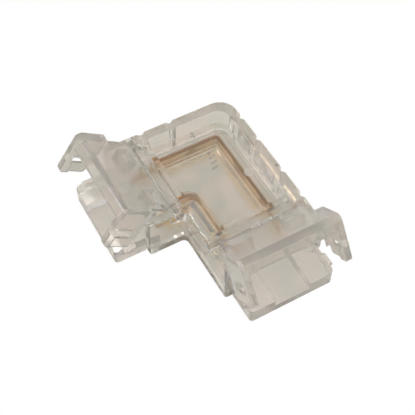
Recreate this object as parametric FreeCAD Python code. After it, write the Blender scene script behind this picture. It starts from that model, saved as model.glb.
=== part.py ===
import FreeCAD, Part
import math
import os

# A clear corner connector for two flat light strips. Millimetres and degrees.
# The origin is on the underside, where the centre lines of the two arms cross.
# The short arm runs along -X and the long arm along -Y, and +Z is up.

# Plan
body_width = 15.6
short_arm = 18.6
long_arm = 24.2
outer_corner_radius = 3.0
inner_corner_radius = 0.8
body_end_radius = 0.4

# Heights
body_height = 7.3
base_thickness = 1.5
under_chamfer = 0.25

# Trays that the strips lie on
tray_length = 5.0
tray_inset = 1.1
tray_corner_radius = 0.6
channel_width = 5.5
pad_length = 7.0
pad_top = 3.35
pad_front_top = 2.8
pad_lead_in = 1.4
pad_crest_radius = 0.8
pad_edge_radius = 0.3

# Catch nubs on the sides of the trays
nub_from_end = 1.3
nub_length = 1.9
nub_bottom = 2.2
nub_top = 3.2
nub_land = 0.6
nub_reach = 0.6

# Cover
skirt_wall = 1.2
rim_width = 1.45
inner_rim_width = 2.9
rim_wall = 0.8
rim_roof = 1.0
window_floor_top = 5.1
window_floor = 0.8
window_wall = 0.85
window_draft = 0.3
window_corner_radius = 1.6
window_end_radius = 0.5
top_round = 0.45
joint_gap = 0.1

# Raised panels on the outer faces of the cover, with grooves between them by distance from the corner
panel_height = 0.35
panel_root = 1.0
panel_end_radius = 0.6
short_arm_grooves = [9.83, 14.66]
long_arm_grooves = [4.3, 9.1, 15.9, 21.0]
groove_width = 0.4
groove_depth = 0.15

# Lid hinges
hinge_from_end = 9.85
barrel_radius = 1.0
trunnion_radius = 0.6
trunnion_clearance = 0.05
trunnion_end_gap = 0.2
ear_thickness = 1.7
ear_reach = 0.95
swing_gap = 0.1

# Lids
open_angle = 36.0
lid_thickness = 1.2
lid_overhang = 0.4
lid_side_gap = 0.1
lid_front_round = 1.0
lid_corner_radius = 0.3
leg_thickness = 1.0
leg_gap = 0.3
leg_taper = 0.3
leg_bottom = 0.25
leg_toe_radius = 0.9
leg_heel_radius = 0.5
leg_shoulder_round = 0.5
leg_chamfer = 0.3
front_rib_depth = 1.0
front_rib_thickness = 0.9
front_rib_setback = 0.05
catch_margin = 0.2
catch_front_margin = 0.7
catch_corner_radius = 0.3
catch_gap = 0.1

# Blocks under the lid that press the strip onto the spikes
clamp_from_axis = 1.9
clamp_length = 2.0
clamp_inner = 2.7
clamp_outer = 5.6
clamp_bottom = 4.0
clamp_edge_radius = 0.4

# Conductors, thin blades that stand on edge
conductor_line = 4.05
blade_thickness = 0.4
blade_bottom = 2.2
blade_height = 2.0
outer_bend_radius = 0.5
inner_bend_radius = 1.5
tongue_height = 0.8
tongue_from_end = 7.5
tongue_back = 11.0
tongue_slope = 0.6
tongue_neck = 0.5
spike_from_end = 9.25
spike_width = 0.9
spike_top = 4.7

# Rails and lip that locate the conductors and the cover on the base
rail_width = 1.3
rail_height = 1.3
slot_clearance = 0.04
lip_width = 0.6
lip_height = 0.8
sharp_bend = 0.05

# How far a cut runs past what it cuts, how deep a joined piece starts in its neighbour, and a length
# taken as nothing
overcut = 1.0
cut_margin = 0.1
embed = 0.3
tolerance = 0.001

# Worked out from the dimensions above
half_body = body_width / 2
half_tray = half_body - tray_inset
half_seat = half_body - skirt_wall - joint_gap
hinge_height = body_height - barrel_radius
wall_face = hinge_from_end + barrel_radius + swing_gap
window_end = wall_face + window_wall
lid_half = half_body - skirt_wall - lid_side_gap
lid_neck_half = half_body - ear_thickness - lid_side_gap
leg_inner = half_body - leg_thickness
blade_top = blade_bottom + blade_height
arms = {"short": (short_arm, 180.0), "long": (long_arm, -90.0)}


def vec(x, y, z):
    return FreeCAD.Vector(x, y, z)


def level(height):
    """Places outline points in a level plane."""
    return lambda a, b: vec(a, b, height)


def upright(across):
    """Places outline points in the side view of an arm: out along the arm, and up."""
    return lambda a, b: vec(a, across, b)


def facing(along):
    """Places outline points in the end view of an arm: across the arm, and up."""
    return lambda a, b: vec(along, a, b)


def rounded_wire(corners, place):
    """A closed wire through corners given as (a, b, radius), each rounded by its radius."""
    starts = []
    middles = []
    ends = []
    for i, (a, b, radius) in enumerate(corners):
        corner = vec(a, b, 0)
        last = corners[i - 1]
        following = corners[(i + 1) % len(corners)]
        back = (vec(last[0], last[1], 0) - corner).normalize()
        ahead = (vec(following[0], following[1], 0) - corner).normalize()
        half_angle = back.getAngle(ahead) / 2
        reach = radius / math.tan(half_angle)
        inward = (back + ahead).normalize()
        starts.append(corner + back * reach)
        middles.append(corner + inward * (radius / math.sin(half_angle) - radius))
        ends.append(corner + ahead * reach)
    edges = []
    for i, (a, b, radius) in enumerate(corners):
        if radius > 0:
            arc = [place(p.x, p.y) for p in (starts[i], middles[i], ends[i])]
            edges.append(Part.Arc(*arc).toShape())
        tip = starts[(i + 1) % len(corners)]
        edges.append(Part.LineSegment(place(ends[i].x, ends[i].y), place(tip.x, tip.y)).toShape())
    return Part.Wire(edges)


def slab(corners, bottom, top):
    """An upright prism of an outline."""
    return Part.Face(rounded_wire(corners, level(bottom))).extrude(vec(0, 0, top - bottom))


def cheek(corners, low, high):
    """A prism of a side view, across the arm from low to high."""
    return Part.Face(rounded_wire(corners, upright(low))).extrude(vec(0, high - low, 0))


def bar(corners, near, far):
    """A prism of an end view, along the arm from near to far."""
    return Part.Face(rounded_wire(corners, facing(near))).extrude(vec(far - near, 0, 0))


def rectangle(low_a, low_b, high_a, high_b, radius=0.0):
    return [
        (low_a, low_b, radius),
        (high_a, low_b, radius),
        (high_a, high_b, radius),
        (low_a, high_b, radius),
    ]


def on_arm(shape, arm):
    """Moves a piece that is made with its origin at a tray's end to that end of the connector."""
    length, turn = arms[arm]
    placed = shape.copy()
    placed.translate(vec(length, 0, 0))
    placed.rotate(vec(0, 0, 0), vec(0, 0, 1), turn)
    return placed


def corner_outline(outer_inset, inner_inset, from_ends, outer_radius, inner_radius):
    """The L outline, inset from the body's sides and ending a distance short of both tray ends."""
    outer = half_body - outer_inset
    inner = inner_inset - half_body
    short_reach = from_ends - short_arm
    long_reach = from_ends - long_arm
    return [
        (outer, outer, outer_radius),
        (short_reach, outer, 0),
        (short_reach, inner, 0),
        (inner, inner, inner_radius),
        (inner, long_reach, 0),
        (outer, long_reach, 0),
    ]


def corner_wall(line, thickness, bend_radius, from_ends, bottom, top):
    """A wall that runs along both arms at one distance from their centre lines."""
    near = half_body - line - thickness / 2
    far = half_body + line - thickness / 2
    inside = max(bend_radius - thickness / 2, sharp_bend)
    return slab(corner_outline(near, far, from_ends, bend_radius + thickness / 2, inside), bottom, top)


def inner_strip(inset, width, bottom, top):
    """A straight strip beside the inner skirt of the long arm, from the corner to the window's end."""
    side = inset - half_body
    return slab(rectangle(side, window_end - long_arm, side + width, side), bottom, top)


def tray():
    """The open end that a strip lies on: a floor, two pads with lead-in slopes and two catch nubs."""
    mouth = joint_gap - tray_length
    plan = []
    for side in (-1, 1):
        half = [
            (-pad_length, side * half_seat, 0),
            (mouth, side * half_seat, 0),
            (mouth, side * half_tray, 0),
            (0, side * half_tray, tray_corner_radius),
        ]
        plan.extend(half[::-side])
    pad_side = [
        (-pad_length, 0, 0),
        (-pad_length, pad_top, pad_edge_radius),
        (-pad_lead_in, pad_top, pad_crest_radius),
        (0, pad_front_top, pad_edge_radius),
        (0, 0, 0),
    ]
    pads = cheek(pad_side, -half_tray, half_tray)
    half_channel = channel_width / 2
    channel_plan = rectangle(-pad_length - overcut, -half_channel, overcut, half_channel)
    channel = slab(channel_plan, base_thickness, pad_top + overcut)
    shape = slab(plan, 0, pad_top + overcut).common(pads).cut(channel)
    for side in (1, -1):
        shape = shape.fuse(nub(side))
    return shape


def nub(side):
    """A catch that is sloped on top and flat below."""
    root = side * (half_tray - embed)
    tip = side * (half_tray + nub_reach)
    outline = [
        (root, nub_bottom, 0),
        (tip, nub_bottom, 0),
        (tip, nub_bottom + nub_land, 0),
        (side * half_tray, nub_top, 0),
        (root, nub_top, 0),
    ]
    return bar(outline, -nub_from_end - nub_length, -nub_from_end)


def base():
    """The lower moulding: the L plate, both trays, and the rails that carry the conductors."""
    outline = corner_outline(0, 0, tray_length, outer_corner_radius, inner_corner_radius)
    for i in (1, 2, 4, 5):
        outline[i] = (outline[i][0], outline[i][1], body_end_radius)
    shape = slab(outline, 0, base_thickness)
    for line, bend in ((conductor_line, outer_bend_radius), (-conductor_line, inner_bend_radius)):
        rail = corner_wall(line, rail_width, bend, window_end, base_thickness, base_thickness + rail_height)
        slot_width = blade_thickness + 2 * slot_clearance
        slot = corner_wall(line, slot_width, bend, window_end - overcut, blade_bottom, blade_top)
        shape = shape.fuse(rail.cut(slot))
    lip_inset = skirt_wall + joint_gap + lip_width / 2
    lip_top = base_thickness + lip_height
    lip_bend = outer_corner_radius - lip_inset
    lip = corner_wall(half_body - lip_inset, lip_width, lip_bend, window_end, base_thickness, lip_top)
    shape = shape.fuse(lip)
    shape = shape.fuse(inner_strip(skirt_wall + joint_gap, lip_width, base_thickness, lip_top))
    for arm in arms:
        shape = shape.fuse(on_arm(tray(), arm))
    shape = shape.removeSplitter()
    under = [e for e in shape.Edges if e.BoundBox.ZMax < tolerance]
    return shape.makeChamfer(under_chamfer, under)


def cover():
    """The upper moulding: a skirt, a sunk window over the conductors and ears for both lids."""
    outline = corner_outline(0, 0, tray_length, outer_corner_radius, inner_corner_radius)
    for i in (1, 2, 4, 5):
        outline[i] = (outline[i][0], outline[i][1], body_end_radius)
    shape = slab(outline, base_thickness, body_height)
    crown = [e for e in shape.Edges if e.BoundBox.ZMin > body_height - tolerance]
    shape = shape.makeFillet(top_round, crown)
    shape = shape.fuse(panels()).cut(window()).cut(hollow())
    for arm in arms:
        shape = shape.cut(on_arm(well(), arm))
    return shape.cut(grooves()).removeSplitter()


def panels():
    """Raised panels with rounded ends on both outer faces of the skirt, one of them round the corner."""
    root = half_body - panel_root
    face = half_body + panel_height
    half_gap = groove_width / 2
    corner_near = half_body - short_arm_grooves[0] + half_gap
    corner_low = half_body - long_arm_grooves[0] + half_gap
    outlines = [
        [
            (face, face, outer_corner_radius),
            (corner_near, face, panel_end_radius),
            (corner_near, root, 0),
            (root, corner_low, 0),
            (face, corner_low, panel_end_radius),
        ]
    ]
    sides = ((short_arm_grooves, short_arm, False), (long_arm_grooves, long_arm, True))
    for distances, length, swap in sides:
        body_end = half_body + length - tray_length + half_gap
        for start, end in zip(distances, distances[1:] + [body_end]):
            near = half_body - start - half_gap
            far = half_body - end + half_gap
            outline = rectangle(far, root, near, face)
            outline[2] = (near, face, panel_end_radius)
            outline[3] = (far, face, panel_end_radius)
            if swap:
                outline = [(b, a, r) for a, b, r in outline]
            outlines.append(outline)
    shapes = []
    for outline in outlines:
        panel = slab(outline, base_thickness, body_height)
        crown = [e for e in panel.Edges if e.BoundBox.ZMin > body_height - tolerance]
        shapes.append(panel.makeFillet(top_round, crown))
    return shapes


def window():
    """The drafted space above the sunk floor."""
    wires = []
    for height, draft in ((window_floor_top, 0.0), (body_height + tolerance, window_draft)):
        outline = corner_outline(
            rim_width + window_draft - draft,
            inner_rim_width + window_draft - draft,
            window_end + window_draft - draft,
            outer_corner_radius + panel_height - rim_width,
            window_corner_radius,
        )
        for i in (1, 2, 4, 5):
            outline[i] = (outline[i][0], outline[i][1], window_end_radius)
        wires.append(rounded_wire(outline, level(height)))
    return Part.makeLoft(wires, True, True)


def hollow():
    """The space below the floor, and the core that keeps the wide inner rim to an even wall."""
    below = corner_outline(
        skirt_wall,
        skirt_wall,
        tray_length - overcut,
        outer_corner_radius - skirt_wall,
        inner_corner_radius + skirt_wall,
    )
    space = slab(below, base_thickness, window_floor_top - window_floor)
    core_width = inner_rim_width - skirt_wall - rim_wall
    return space.fuse(inner_strip(skirt_wall, core_width, base_thickness, body_height - rim_roof))


def well():
    """The open space between the side walls that the strip and the lid lie in, with the hinge holes."""
    half_well = half_body - skirt_wall
    half_neck = half_body - ear_thickness
    ear_end = ear_reach - hinge_from_end
    top = body_height + overcut
    space = slab(rectangle(-wall_face, -half_neck, overcut, half_neck), 0, top)
    space = space.fuse(slab(rectangle(ear_end, -half_well, overcut, half_well), 0, top))
    hole_radius = trunnion_radius + trunnion_clearance
    hole_start = vec(-hinge_from_end, -half_body - overcut, hinge_height)
    hole = Part.makeCylinder(hole_radius, body_width + 2 * overcut, hole_start, vec(0, 1, 0))
    return space.fuse(hole)


def grooves():
    """Upright grooves that deepen the gaps between the panels."""
    cutters = []
    for distances, swap in ((short_arm_grooves, False), (long_arm_grooves, True)):
        for distance in distances:
            along = half_body - distance
            outline = [
                (along - groove_width / 2, half_body, 0),
                (along, half_body - groove_depth, 0),
                (along + groove_width / 2, half_body, 0),
                (along, half_body + panel_height, 0),
            ]
            if swap:
                outline = [(y, x, r) for x, y, r in outline]
            cutters.append(slab(outline, base_thickness, body_height + cut_margin))
    return cutters


def lid():
    """A lid with its two side legs, made closed and then turned open about its trunnions."""
    top = body_height
    under = top - lid_thickness
    axis = -hinge_from_end
    leg_back = leg_gap - tray_length
    neck_end = axis + math.hypot(ear_reach, barrel_radius) + swing_gap
    plate_end = lid_overhang - lid_front_round
    barrel_start = vec(axis, -lid_neck_half, hinge_height)
    shape = Part.makeCylinder(barrel_radius, 2 * lid_neck_half, barrel_start, vec(0, 1, 0))
    neck = slab(rectangle(axis, -lid_neck_half, neck_end + overcut, lid_neck_half), under, top)
    plate_plan = rectangle(neck_end, -lid_half, plate_end, lid_half, lid_corner_radius)
    plate = slab(plate_plan, under, top)
    front_side = [
        (leg_back, under, 0),
        (leg_back, top, leg_shoulder_round),
        (lid_overhang, top, lid_front_round),
        (lid_overhang, under, 0),
    ]
    front = cheek(front_side, -half_body, half_body)
    shape = shape.fuse([neck, plate, front])
    for side in (1, -1):
        shape = shape.fuse(leg(side, leg_back, top)).fuse(clamp(side, under))
        shape = shape.fuse(trunnion(side))
        shape = shape.cut(catch_hole(side)).cut(catch_ramp(side))
    shape = shape.fuse(front_rib(under)).removeSplitter()
    shape.rotate(vec(axis, 0, hinge_height), vec(0, 1, 0), -open_angle)
    return shape


def front_rib(under):
    """The rib under the front edge of the lid, from leg to leg."""
    front = lid_overhang - front_rib_setback
    half_rib = leg_inner + cut_margin
    plan = rectangle(front - front_rib_thickness, -half_rib, front, half_rib)
    return slab(plan, under - front_rib_depth, under + cut_margin)


def leg(side, back, top):
    """A side leg that closes over the side of the tray, with its inner lower edge chamfered."""
    outline = [
        (back, top, leg_shoulder_round),
        (lid_overhang, top, lid_front_round),
        (lid_overhang, leg_bottom, leg_toe_radius),
        (back + leg_taper, leg_bottom, leg_heel_radius),
    ]
    faces = sorted((side * leg_inner, side * half_body))
    lead = [
        (side * (leg_inner - leg_chamfer), leg_bottom - leg_chamfer, 0),
        (side * (leg_inner + 2 * leg_chamfer), leg_bottom - leg_chamfer, 0),
        (side * (leg_inner - leg_chamfer), leg_bottom + 2 * leg_chamfer, 0),
    ]
    return cheek(outline, *faces).cut(bar(lead, back - overcut, lid_overhang + overcut))


def catch_hole(side):
    """The hole in a leg that takes the nub of the tray."""
    outline = rectangle(
        -nub_from_end - nub_length - catch_margin,
        nub_bottom - catch_margin,
        catch_front_margin - nub_from_end,
        nub_top + catch_margin,
        catch_corner_radius,
    )
    faces = sorted((side * (leg_inner - cut_margin), side * (half_body + cut_margin)))
    return cheek(outline, *faces)


def catch_ramp(side):
    """A shallow groove inside the leg, from its lower edge to the hole, that the nub runs up."""
    arc_back = math.hypot(hinge_from_end - nub_from_end - nub_length, hinge_height - nub_top)
    arc_front = math.hypot(hinge_from_end - nub_from_end, hinge_height - nub_bottom)
    low = leg_bottom - cut_margin
    high = nub_bottom
    back_low = math.sqrt(arc_back**2 - (hinge_height - low) ** 2) - hinge_from_end - catch_margin
    front_high = math.sqrt(arc_front**2 - (hinge_height - high) ** 2) - hinge_from_end + catch_margin
    outline = [
        (back_low, low, 0),
        (front_high, low, 0),
        (front_high, high, 0),
        (-nub_from_end - nub_length - catch_margin, high, 0),
    ]
    floor = half_tray + nub_reach + catch_gap
    faces = sorted((side * (leg_inner - cut_margin), side * floor))
    return cheek(outline, *faces)


def clamp(side, under):
    """A block under the lid that presses the strip down beside the spike."""
    start = clamp_from_axis - hinge_from_end
    outline = rectangle(start, clamp_bottom, start + clamp_length, under + embed)
    outline[0] = (start, clamp_bottom, clamp_edge_radius)
    outline[1] = (start + clamp_length, clamp_bottom, clamp_edge_radius)
    faces = sorted((side * clamp_inner, side * clamp_outer))
    return cheek(outline, *faces)


def trunnion(side):
    """The stub that turns in the ear of the cover."""
    start = lid_neck_half - embed
    length = half_body - trunnion_end_gap - start
    centre = vec(-hinge_from_end, side * start, hinge_height)
    return Part.makeCylinder(trunnion_radius, length, centre, vec(0, side, 0))


def conductor(line, bend_radius):
    """One stamped blade, bent once at the corner, with a tongue and a spike at each end."""
    neck = tongue_back + tongue_neck
    shape = corner_wall(line, blade_thickness, bend_radius, neck, blade_bottom, blade_top)
    tongue_bottom = base_thickness
    tongue_top = tongue_bottom + tongue_height
    spike = -spike_from_end
    outline = [
        (-neck - embed, blade_bottom, 0),
        (-neck - embed, blade_top, 0),
        (-neck, blade_top, 0),
        (-tongue_back + tongue_slope, tongue_top, 0),
        (spike - spike_width / 2, tongue_top, 0),
        (spike, spike_top, 0),
        (spike + spike_width / 2, tongue_top, 0),
        (-tongue_from_end, tongue_top, 0),
        (-tongue_from_end, tongue_bottom, 0),
        (-tongue_back, tongue_bottom, 0),
        (-neck, blade_bottom, 0),
    ]
    for arm, side in (("short", -1), ("long", 1)):
        across = side * line
        tongue = cheek(outline, across - blade_thickness / 2, across + blade_thickness / 2)
        shape = shape.fuse(on_arm(tongue, arm))
    return shape.removeSplitter()


def build():
    os.makedirs("parts", exist_ok=True)
    nodes = {
        "base": base(),
        "top_cover": cover(),
        "short_arm_lid": on_arm(lid(), "short"),
        "long_arm_lid": on_arm(lid(), "long"),
        "outer_conductor": conductor(conductor_line, outer_bend_radius),
        "inner_conductor": conductor(-conductor_line, inner_bend_radius),
    }
    for name, shape in nodes.items():
        print(name, "solids", len(shape.Solids), "valid", shape.isValid(), "volume", round(shape.Volume, 2))
        shape.exportStep("parts/" + name + ".step")


build()
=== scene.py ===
import math
import bmesh
import bpy
from mathutils import Matrix, Vector


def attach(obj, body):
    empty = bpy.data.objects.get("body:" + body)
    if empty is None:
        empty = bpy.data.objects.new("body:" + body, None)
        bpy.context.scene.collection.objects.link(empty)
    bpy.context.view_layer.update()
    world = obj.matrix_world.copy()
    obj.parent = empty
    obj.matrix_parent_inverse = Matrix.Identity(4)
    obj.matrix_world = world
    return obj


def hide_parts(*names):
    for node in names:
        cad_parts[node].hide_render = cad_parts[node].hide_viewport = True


# Looks of a clear corner connector for flat light strips. Metres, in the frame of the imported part.
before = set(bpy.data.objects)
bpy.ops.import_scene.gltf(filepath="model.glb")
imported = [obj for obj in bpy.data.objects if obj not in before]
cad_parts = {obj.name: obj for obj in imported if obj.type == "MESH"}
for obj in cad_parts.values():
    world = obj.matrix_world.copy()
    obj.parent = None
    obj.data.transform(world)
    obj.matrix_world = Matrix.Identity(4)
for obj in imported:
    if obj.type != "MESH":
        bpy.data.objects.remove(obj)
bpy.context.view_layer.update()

MM = 0.001

# Camera, at the photograph's place
CAMERA_PLACE = Vector((-40.52, -72.47, 108.11)) * MM
CAMERA_TARGET = Vector((-2.26, -4.27, 0.0)) * MM
CAMERA_LENS = 77.3
CAMERA_SENSOR = 36.0
CAMERA_NEAR = 1.0 * MM

# Room: its light at the horizon and overhead. It grows up to CEILING_FROM, where 1 is straight up.
WALL_LIGHT = 0.45
CEILING_LIGHT = 0.86
CEILING_FROM = 0.8
WHITE = (1.0, 1.0, 1.0)

# Lamps: name, place, size and watts
LAMPS = (
    ("key", (-0.20, 0.18, 0.30), 0.08, 0.7),
    ("front", (0.05, -0.30, 0.22), 0.08, 0.4),
)

# Table under the part: its colour, and what is seen of it through clear plastic
TABLE_COLOUR = (0.86, 0.84, 0.80)
TABLE_THROUGH = (0.65, 0.62, 0.57)
TABLE_SHARE = 0.85
TABLE_ROUGHNESS = 0.9
TABLE_HALF = 0.6
TABLE_DROP = 0.05 * MM

# Clear plastic: a cooler and a warmer cast for each moulding, and how often light may bounce in it
COVER_TINT = ((0.865, 0.86, 0.81), (0.96, 0.91, 0.865))
LID_TINT = ((0.785, 0.78, 0.725), (0.84, 0.785, 0.74))
BASE_TINT = ((0.85, 0.845, 0.805), (0.935, 0.885, 0.845))
# Marks: a whiter, milkier plastic than the moulding they stand on, a painted highlight that shows
# them as glints
MARK_HIGHLIGHT_TINT = ((0.95, 0.94, 0.88), (0.97, 0.93, 0.90))
PLASTIC_IOR = 1.38
CLEAR_BOUNCES = 24

# Unevenness of the mouldings: scale and detail of each noise, and the stretch of it that shows
RIPPLE_SCALE = 300.0
RIPPLE_DETAIL = 2.0
RIPPLE_DEPTH = 0.05 * MM
HAZE_SCALE = 900.0
HAZE_DETAIL = 3.0
HAZE_STRETCH = (0.35, 0.7)
CAST_SCALE = 260.0
CAST_DETAIL = 1.0
CAST_STRETCH = (0.38, 0.62)

# Copper blades: bright sides, browned patches, and darker towards the top
SIDE_COPPER = (0.86, 0.67, 0.42)
TOP_COPPER = (0.31, 0.14, 0.01)
BROWNED = (0.64, 0.43, 0.22)
TOP_FROM = 3.7 * MM
TOP_TO = 3.95 * MM
PATCH_SCALE = 420.0
PATCH_DETAIL = 4.0
PATCH_STRETCH = (0.45, 0.65)
COPPER_ROUGHNESS = (0.28, 0.5)

# Painted reflection of the copper blades: a golden cast painted into the base's rails, which hold
# the blades; where it lies and how softly it ends
PAINTED_COPPER_REFLECTION = (0.88, 0.66, 0.40)
RAIL_LINE = 4.05 * MM
RAIL_HALF = 0.65 * MM
RAIL_FADE = 2.1 * MM
REFLECTION_BOTTOM = 1.2 * MM
REFLECTION_RISE = 0.2 * MM
RAIL_ENDS = Vector((-10.4, -16.0)) * MM
SOFT_END = 1.0 * MM

# Surfaces of the six pieces: how far touching faces are parted, and how the edges are softened.
# MARK_SOFTNESS is a share of a small mark's least size.
FACE_INSET = 0.01 * MM
EDGE_SOFTNESS = 0.10 * MM
STRIP_SOFTNESS = 0.03 * MM
EDGE_ANGLE = math.radians(32)
SMOOTH_ANGLE = math.radians(50)
FLAT_ANGLE = math.radians(0.4)
MERGE_DISTANCE = 0.0005 * MM
SOFT_STEPS = 2
LARGE_FACES_LEAD = 100
MARK_SOFTNESS = 0.3

# Small moulded marks on the window floor and on the long lid
FLOOR_TOP = 5.1 * MM
SUNK = 0.03 * MM
RING_PLACE = Vector((4.35, -4.9, 5.1)) * MM
RING_RADIUS = 0.6 * MM
RING_TUBE = 0.1 * MM
RING_STEPS = 40
RING_SIDES = 8
SIGN_ARM = 0.55 * MM
SIGN_WIDTH = 0.22 * MM
SIGN_HEIGHT = 0.3 * MM
PLUS_PLACE = Vector((0.6, 5.3)) * MM
MINUS_PLACE = Vector((2.1, 5.3)) * MM
TALLY_START = Vector((1.3, 1.2, 5.1)) * MM
TALLY_STEP = Vector((-0.27, -0.98, 0.0)) * MM
TALLY_COUNT = 4
TALLY_SIZE = Vector((0.95, 0.24, 0.40)) * MM
TALLY_TURN = math.radians(12)
RIDGE_COUNT = 10
RIDGE_SIZE = Vector((0.28, 0.6, 0.44)) * MM
RIDGE_STEP = 0.52 * MM
RIDGE_ALONG = -7.85 * MM
RIDGE_ACROSS = -1.6 * MM

# Long lid, for what is fixed to it
LONG_END = 24.2 * MM
LONG_ARM_TURN = math.radians(-90)
HINGE_FROM_END = 9.85 * MM
HINGE_HEIGHT = 6.3 * MM
LID_TOP = 7.3 * MM
OPEN_ANGLE = math.radians(36)

# Kinds of socket in the node groups
NUMBER = "NodeSocketFloat"
WHOLE_NUMBER = "NodeSocketInt"
VECTOR = "NodeSocketVector"
COLOUR = "NodeSocketColor"
MATERIAL = "NodeSocketMaterial"
OBJECT = "NodeSocketObject"
GEOMETRY = "NodeSocketGeometry"


def link(piece):
    """Puts a piece into the scene."""
    bpy.context.scene.collection.objects.link(piece)
    return piece


def work_in(piece):
    """Works the modifiers of a piece into its mesh."""
    bpy.context.view_layer.update()
    graph = bpy.context.evaluated_depsgraph_get()
    mesh = bpy.data.meshes.new_from_object(piece.evaluated_get(graph))
    mesh.name = piece.name
    piece.modifiers.clear()
    piece.data = mesh


def paint(piece, material):
    """Gives a piece one material."""
    piece.data.materials.clear()
    piece.data.materials.append(material)


def moulded_shell(node, name, softness):
    """A copy of a node with its edges softened as a mould or a press leaves them."""
    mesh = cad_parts[node].data.copy()
    form = bmesh.new()
    form.from_mesh(mesh)
    bmesh.ops.remove_doubles(form, verts=form.verts, dist=MERGE_DISTANCE)
    bmesh.ops.dissolve_limit(
        form, angle_limit=FLAT_ANGLE, verts=form.verts, edges=form.edges
    )
    form.to_mesh(mesh)
    form.free()
    piece = link(bpy.data.objects.new(name, mesh))
    soften = piece.modifiers.new("soften", "BEVEL")
    soften.width = softness
    soften.segments = SOFT_STEPS
    soften.limit_method = "ANGLE"
    soften.angle_limit = EDGE_ANGLE
    soften.use_clamp_overlap = True
    part_faces = piece.modifiers.new("part faces", "DISPLACE")
    part_faces.mid_level = 0.0
    part_faces.strength = -FACE_INSET
    work_in(piece)
    piece.data.shade_smooth()
    piece.data.set_sharp_from_angle(angle=SMOOTH_ANGLE)
    even = piece.modifiers.new("even", "WEIGHTED_NORMAL")
    even.keep_sharp = True
    even.weight = LARGE_FACES_LEAD
    work_in(piece)
    return piece


def opaque(colour):
    """A colour as a socket takes it."""
    return (*colour, 1.0)


def nodes_of(material):
    """A material's node tree and its shader."""
    material.use_nodes = True
    tree = material.node_tree
    return tree, tree.nodes["Principled BSDF"]


def node_group(name, kind, inputs, outputs):
    """A node group with named sockets, its start and its end."""
    group = bpy.data.node_groups.new(name, kind)
    for label, sort, value in inputs:
        socket = group.interface.new_socket(label, in_out="INPUT", socket_type=sort)
        if value is not None:
            socket.default_value = value
    for label, sort in outputs:
        group.interface.new_socket(label, in_out="OUTPUT", socket_type=sort)
    return group, group.nodes.new("NodeGroupInput"), group.nodes.new("NodeGroupOutput")


def feed(tree, node, feeds):
    """Gives inputs of a node a value each, or the output of another node."""
    for name, given in feeds.items():
        if isinstance(given, bpy.types.NodeSocket):
            tree.links.new(given, node.inputs[name])
        else:
            node.inputs[name].default_value = given


def add(tree, kind, feeds=None, **settings):
    """A new node with its settings and feeds; its outputs."""
    node = tree.nodes.new(kind)
    for name, setting in settings.items():
        setattr(node, name, setting)
    feed(tree, node, feeds or {})
    return node.outputs


def object_place(tree):
    """The place of a point on its own piece."""
    return add(tree, "ShaderNodeTexCoord")["Object"]


def axes(tree, vector):
    """The X, Y and Z of a vector."""
    return add(tree, "ShaderNodeSeparateXYZ", {"Vector": vector})


def unevenness(tree, place, scale, detail):
    """Soft noise between 0 and 1."""
    feeds = {"Vector": place, "Scale": scale, "Detail": detail}
    return add(tree, "ShaderNodeTexNoise", feeds)["Fac"]


def reckon(tree, operation, *terms):
    """The result of an operation on numbers."""
    return add(tree, "ShaderNodeMath", dict(enumerate(terms)), operation=operation)["Value"]


def change(tree, value, start, end, low=0.0, high=1.0, course="LINEAR"):
    """Goes from low to high while a value goes from start to end."""
    feeds = {"Value": value, "From Min": start, "From Max": end, "To Min": low, "To Max": high}
    return add(tree, "ShaderNodeMapRange", feeds, interpolation_type=course)["Result"]


def fade(tree, value, start, end, low, high):
    """A change that begins and ends softly."""
    return change(tree, value, start, end, low, high, "SMOOTHSTEP")


def mixed_colour(tree, share, first, second):
    """The first colour with a share of the second."""
    feeds = {"Factor": share, "A": first, "B": second}
    return add(tree, "ShaderNodeMix", feeds, data_type="RGBA")["Result"]


def mixed_surface(tree, share, first, second):
    """The first surface with a share of the second."""
    return add(tree, "ShaderNodeMixShader", {"Fac": share, 1: first, 2: second})["Shader"]


def moulding_group():
    """Unevenness of moulded plastic: a slow ripple, and a haze and a cast that come and go."""
    group, start, end = node_group(
        "moulding",
        "ShaderNodeTree",
        (
            ("Ripple scale", NUMBER, RIPPLE_SCALE),
            ("Haze scale", NUMBER, HAZE_SCALE),
            ("Haze low", NUMBER, None),
            ("Haze high", NUMBER, None),
            ("Cast scale", NUMBER, CAST_SCALE),
            ("Cool cast", COLOUR, None),
            ("Warm cast", COLOUR, None),
        ),
        (("Color", COLOUR), ("Roughness", NUMBER), ("Height", NUMBER)),
    )
    own = start.outputs
    place = object_place(group)
    ripple = unevenness(group, place, own["Ripple scale"], RIPPLE_DETAIL)
    haze = unevenness(group, place, own["Haze scale"], HAZE_DETAIL)
    haze = change(group, haze, *HAZE_STRETCH, own["Haze low"], own["Haze high"])
    drift = unevenness(group, place, own["Cast scale"], CAST_DETAIL)
    drift = change(group, drift, *CAST_STRETCH)
    cast = mixed_colour(group, drift, own["Cool cast"], own["Warm cast"])
    feed(group, end, {"Color": cast, "Roughness": haze, "Height": ripple})
    return group


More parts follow.
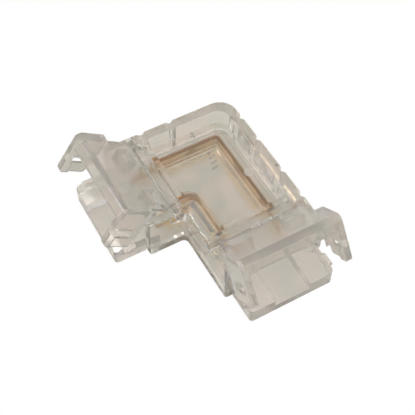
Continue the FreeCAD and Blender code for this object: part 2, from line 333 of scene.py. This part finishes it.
def copper_reflection_group():
    """A painted reflection: the golden cast of the copper blades, painted into the clear rails that
    hold them.
    """
    group, start, end = node_group(
        "rail glow",
        "ShaderNodeTree",
        (("Plastic", COLOUR, None), ("Glow", COLOUR, None)),
        (("Color", COLOUR),),
    )
    own = start.outputs
    spot = axes(group, object_place(group))
    from_middle = reckon(group, "ABSOLUTE", reckon(group, "MAXIMUM", spot["X"], spot["Y"]))
    from_line = reckon(group, "ABSOLUTE", reckon(group, "SUBTRACT", from_middle, RAIL_LINE))
    share = fade(group, from_line, RAIL_HALF, RAIL_FADE, 1.0, 0.0)
    for axis, edge, width in (
        ("X", RAIL_ENDS.x, SOFT_END),
        ("Y", RAIL_ENDS.y, SOFT_END),
        ("Z", REFLECTION_BOTTOM, REFLECTION_RISE),
    ):
        beyond = fade(group, spot[axis], edge, edge + width, 0.0, 1.0)
        share = reckon(group, "MULTIPLY", share, beyond)
    # Mixes the painted copper reflection into the plastic's colour beside the blades
    tint = mixed_colour(group, share, own["Plastic"], own["Glow"])
    feed(group, end, {"Color": tint})
    return group


def tarnish_group():
    """Stamped copper: bright sides, darker towards the top edge, and browned patches."""
    group, start, end = node_group(
        "tarnish",
        "ShaderNodeTree",
        (
            ("Side", COLOUR, opaque(SIDE_COPPER)),
            ("Top", COLOUR, opaque(TOP_COPPER)),
            ("Browned", COLOUR, opaque(BROWNED)),
            ("Top from", NUMBER, TOP_FROM),
            ("Top to", NUMBER, TOP_TO),
        ),
        (("Color", COLOUR), ("Roughness", NUMBER)),
    )
    own = start.outputs
    place = object_place(group)
    patches = unevenness(group, place, PATCH_SCALE, PATCH_DETAIL)
    patches = change(group, patches, *PATCH_STRETCH)
    sides = mixed_colour(group, patches, own["Side"], own["Browned"])
    top = change(group, axes(group, place)["Z"], own["Top from"], own["Top to"])
    colour = mixed_colour(group, top, sides, own["Top"])
    dullness = change(group, patches, 0.0, 1.0, *COPPER_ROUGHNESS)
    feed(group, end, {"Color": colour, "Roughness": dullness})
    return group


def row_group():
    """A row of equal marks: one mark repeated by a step."""
    group, start, end = node_group(
        "row of marks",
        "GeometryNodeTree",
        (
            ("Mark", OBJECT, None),
            ("Count", WHOLE_NUMBER, None),
            ("Start", VECTOR, None),
            ("Step", VECTOR, None),
            ("Material", MATERIAL, None),
        ),
        (("Geometry", GEOMETRY),),
    )
    own = start.outputs
    feeds = {"Count": own["Count"], "Start Location": own["Start"], "Offset": own["Step"]}
    line = add(group, "GeometryNodeMeshLine", feeds)["Mesh"]
    mark = add(group, "GeometryNodeObjectInfo", {"Object": own["Mark"]})["Geometry"]
    feeds = {"Points": line, "Instance": mark}
    spread = add(group, "GeometryNodeInstanceOnPoints", feeds)["Instances"]
    real = add(group, "GeometryNodeRealizeInstances", {"Geometry": spread})["Geometry"]
    feeds = {"Geometry": real, "Material": own["Material"]}
    coated = add(group, "GeometryNodeSetMaterial", feeds)["Geometry"]
    feed(group, end, {"Geometry": coated})
    return group


def clear_plastic(name, casts, clear_share, haze, ripple):
    """Clear moulded plastic with a warm grey cast and a little milkiness."""
    material = bpy.data.materials.new(name)
    tree, shader = nodes_of(material)
    feeds = {
        "Haze low": haze[0],
        "Haze high": haze[1],
        "Cool cast": opaque(casts[0]),
        "Warm cast": opaque(casts[1]),
    }
    surface = add(tree, "ShaderNodeGroup", feeds, node_tree=moulding)
    feeds = {"Strength": ripple, "Distance": RIPPLE_DEPTH, "Height": surface["Height"]}
    bump = add(tree, "ShaderNodeBump", feeds)
    feeds = {
        "Transmission Weight": clear_share,
        "IOR": PLASTIC_IOR,
        "Metallic": 0.0,
        "Base Color": surface["Color"],
        "Roughness": surface["Roughness"],
        "Normal": bump["Normal"],
    }
    feed(tree, shader, feeds)
    return material


def paint_copper_reflection(material):
    """Puts the painted copper reflection on the rails, between the plastic's colour and its surface.
    """
    tree, shader = nodes_of(material)
    plastic = shader.inputs["Base Color"].links[0].from_socket
    feeds = {"Plastic": plastic, "Glow": opaque(PAINTED_COPPER_REFLECTION)}
    reflected = add(tree, "ShaderNodeGroup", feeds, node_tree=copper_reflection)
    feed(tree, shader, {"Base Color": reflected["Color"]})


def copper():
    """Stamped copper, browned in patches and dark along its top edge."""
    material = bpy.data.materials.new("copper")
    tree, shader = nodes_of(material)
    surface = add(tree, "ShaderNodeGroup", node_tree=tarnish)
    feeds = {
        "Metallic": 1.0,
        "Base Color": surface["Color"],
        "Roughness": surface["Roughness"],
    }
    feed(tree, shader, feeds)
    return material


def dress_connector():
    """The six nodes as softened shells in their own plastics and copper."""
    for node, body, slot, material, softness in (
        ("base", "housing", "clear_base", clear_base, EDGE_SOFTNESS),
        ("top_cover", "housing", "clear_cover", clear_cover, EDGE_SOFTNESS),
        ("short_arm_lid", "short_lid", "clear_lid", clear_lid, EDGE_SOFTNESS),
        ("long_arm_lid", "long_lid", "clear_lid", clear_lid, EDGE_SOFTNESS),
        ("outer_conductor", "housing", "copper", metal, STRIP_SOFTNESS),
        ("inner_conductor", "housing", "copper", metal, STRIP_SOFTNESS),
    ):
        shell = moulded_shell(node, node + "_surface", softness)
        paint(shell, material)
        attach(shell, body)
        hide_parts(node)


def rounded_block(name, size, turn=0.0):
    """A small block with soft edges, its middle at the origin."""
    form = bmesh.new()
    bmesh.ops.create_cube(form, size=1.0)
    bmesh.ops.scale(form, vec=size, verts=form.verts)
    bmesh.ops.bevel(
        form,
        geom=form.edges[:],
        offset=min(size) * MARK_SOFTNESS,
        segments=SOFT_STEPS,
        affect="EDGES",
        clamp_overlap=True,
    )
    turned = Matrix.Rotation(turn, 3, "Z")
    bmesh.ops.rotate(form, cent=(0, 0, 0), matrix=turned, verts=form.verts)
    mesh = bpy.data.meshes.new(name)
    form.to_mesh(mesh)
    form.free()
    mesh.shade_smooth()
    return bpy.data.objects.new(name, mesh)


def mark_row(name, mark, count, start, step, material):
    """Marks in a row, as one mesh."""
    link(mark)
    piece = link(bpy.data.objects.new(name, bpy.data.meshes.new(name)))
    row = piece.modifiers.new("row", "NODES")
    row.node_group = marks
    values = {"Mark": mark, "Count": count, "Start": start, "Step": step, "Material": material}
    for item in marks.interface.items_tree:
        if item.in_out == "INPUT":
            row[item.identifier] = values[item.name]
    work_in(piece)
    bpy.data.objects.remove(mark)
    return piece


def on_long_lid(piece):
    """Moves a piece from a closed lid at the origin to the open lid of the long arm."""
    hinge = Vector((-HINGE_FROM_END, 0.0, HINGE_HEIGHT))
    swing = Matrix.Rotation(-OPEN_ANGLE, 4, "Y")
    opened = Matrix.Translation(hinge) @ swing @ Matrix.Translation(-hinge)
    to_arm = Matrix.Rotation(LONG_ARM_TURN, 4, "Z")
    placed = to_arm @ Matrix.Translation((LONG_END, 0.0, 0.0))
    piece.data.transform(placed @ opened)


def moulded_marks():
    """Plain signs and marks that stand a little above the window floor and the long lid."""
    half_rise = SIGN_HEIGHT / 2 - SUNK
    across = rounded_block("sign", Vector((2 * SIGN_ARM, SIGN_WIDTH, SIGN_HEIGHT)))
    along = rounded_block("sign", Vector((SIGN_WIDTH, 2 * SIGN_ARM, SIGN_HEIGHT)))
    minus = rounded_block("sign", Vector((2 * SIGN_ARM, SIGN_WIDTH, SIGN_HEIGHT)))
    no_step = Vector((0.0, 0.0, 0.0))
    # The signs and the lid ridges take the marks' whiter plastic, a painted highlight
    for name, block, place in (
        ("plus_sign_bar", across, PLUS_PLACE),
        ("plus_sign_upright", along, PLUS_PLACE),
        ("minus_sign", minus, MINUS_PLACE),
    ):
        start = Vector((place.x, place.y, FLOOR_TOP + half_rise))
        sign = mark_row(name, block, 1, start, no_step, raised_mark)
        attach(sign, "housing")
    tally = rounded_block("bar", TALLY_SIZE, TALLY_TURN)
    bars = mark_row("floor_bars", tally, TALLY_COUNT, TALLY_START, TALLY_STEP, clear_cover)
    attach(bars, "housing")
    # The ridges take the whiter mark plastic, a painted highlight
    ridge = rounded_block("ridge", Vector((RIDGE_SIZE.y, RIDGE_SIZE.x, RIDGE_SIZE.z)))
    start = Vector((RIDGE_ALONG, RIDGE_ACROSS, LID_TOP))
    step = Vector((0.0, RIDGE_STEP, 0.0))
    ridges = mark_row("lid_ridges", ridge, RIDGE_COUNT, start, step, raised_mark)
    on_long_lid(ridges)
    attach(ridges, "long_lid")


def ring_mark():
    """The round witness mark that an ejector pin leaves on the window floor."""
    points = []
    faces = []
    for i in range(RING_STEPS):
        turn = 2 * math.pi * i / RING_STEPS
        for j in range(RING_SIDES):
            lean = 2 * math.pi * j / RING_SIDES
            reach = RING_RADIUS + RING_TUBE * math.cos(lean)
            points.append(
                (
                    RING_PLACE.x + reach * math.cos(turn),
                    RING_PLACE.y + reach * math.sin(turn),
                    RING_PLACE.z + RING_TUBE * math.sin(lean),
                )
            )
            here = i * RING_SIDES
            after = (i + 1) % RING_STEPS * RING_SIDES
            beside = (j + 1) % RING_SIDES
            faces.append((here + j, after + j, after + beside, here + beside))
    mesh = bpy.data.meshes.new("ejector_ring")
    mesh.from_pydata(points, [], faces)
    mesh.shade_smooth()
    ring = link(bpy.data.objects.new("ejector_ring", mesh))
    # The ring takes the marks' whiter plastic, a painted highlight
    paint(ring, raised_mark)
    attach(ring, "housing")


def floor():
    """A plain pale table that shows white behind the part and warm grey through it."""
    mesh = bpy.data.meshes.new("floor")
    sides = ((-1, -1), (1, -1), (1, 1), (-1, 1))
    corners = [(x * TABLE_HALF, y * TABLE_HALF, -TABLE_DROP) for x, y in sides]
    mesh.from_pydata(corners, [], [(0, 1, 2, 3)])
    piece = link(bpy.data.objects.new("floor", mesh))
    material = bpy.data.materials.new("floor")
    tree, shader = nodes_of(material)
    feed(tree, shader, {"Base Color": opaque(TABLE_COLOUR), "Roughness": TABLE_ROUGHNESS})
    white = add(tree, "ShaderNodeEmission", {"Color": opaque(WHITE)})["Emission"]
    through = add(tree, "ShaderNodeEmission", {"Color": opaque(TABLE_THROUGH)})["Emission"]
    ray = add(tree, "ShaderNodeLightPath")
    share = reckon(tree, "MULTIPLY", ray["Is Transmission Ray"], TABLE_SHARE)
    seen = mixed_surface(tree, share, shader.outputs["BSDF"], through)
    shown = mixed_surface(tree, ray["Is Camera Ray"], seen, white)
    feed(tree, tree.nodes["Material Output"], {"Surface": shown})
    paint(piece, material)


def lights():
    """A room that is lighter overhead and white to the camera, and two small lamps."""
    world = bpy.data.worlds.new("studio")
    bpy.context.scene.world = world
    world.use_nodes = True
    tree = world.node_tree
    way = axes(tree, add(tree, "ShaderNodeTexCoord")["Generated"])
    strength = change(tree, way["Z"], 0.0, CEILING_FROM, WALL_LIGHT, CEILING_LIGHT)
    room = tree.nodes["Background"]
    feed(tree, room, {"Color": opaque(WHITE), "Strength": strength})
    backdrop = add(tree, "ShaderNodeBackground", {"Color": opaque(WHITE)})["Background"]
    ray = add(tree, "ShaderNodeLightPath")
    shown = mixed_surface(tree, ray["Is Camera Ray"], room.outputs["Background"], backdrop)
    feed(tree, tree.nodes["World Output"], {"Surface": shown})
    for name, place, size, power in LAMPS:
        lamp = bpy.data.lights.new(name, "AREA")
        lamp.size = size
        lamp.energy = power
        piece = link(bpy.data.objects.new(name, lamp))
        piece.location = place
        aim = -Vector(place)
        piece.rotation_euler = aim.to_track_quat("-Z", "Y").to_euler()


def camera():
    """The photograph's view of the part."""
    view = bpy.data.cameras.new("camera")
    view.lens = CAMERA_LENS
    view.sensor_width = CAMERA_SENSOR
    view.clip_start = CAMERA_NEAR
    piece = link(bpy.data.objects.new("camera", view))
    piece.location = CAMERA_PLACE
    aim = CAMERA_TARGET - CAMERA_PLACE
    piece.rotation_euler = aim.to_track_quat("-Z", "Y").to_euler()
    bpy.context.scene.camera = piece


moulding = moulding_group()
tarnish = tarnish_group()
copper_reflection = copper_reflection_group()
marks = row_group()
clear_base = clear_plastic(
    "clear_base", BASE_TINT, clear_share=0.93, haze=(0.12, 0.26), ripple=0.35
)
# Paints a reflection of the copper blades into the base's rails
paint_copper_reflection(clear_base)
clear_cover = clear_plastic(
    "clear_cover", COVER_TINT, clear_share=0.95, haze=(0.05, 0.16), ripple=0.30
)
# Raised marks: the clear plastic made whiter and milkier, a painted highlight so they show as glints
raised_mark = clear_plastic(
    "raised_mark", MARK_HIGHLIGHT_TINT, clear_share=0.60, haze=(0.03, 0.10), ripple=0.20
)
clear_lid = clear_plastic(
    "clear_lid", LID_TINT, clear_share=0.88, haze=(0.13, 0.25), ripple=0.30
)
metal = copper()
dress_connector()
moulded_marks()
ring_mark()
floor()
lights()
camera()
bpy.context.scene.view_settings.view_transform = "Standard"
bpy.context.scene.cycles.max_bounces = CLEAR_BOUNCES
bpy.context.scene.cycles.glossy_bounces = CLEAR_BOUNCES
bpy.context.scene.cycles.transmission_bounces = CLEAR_BOUNCES
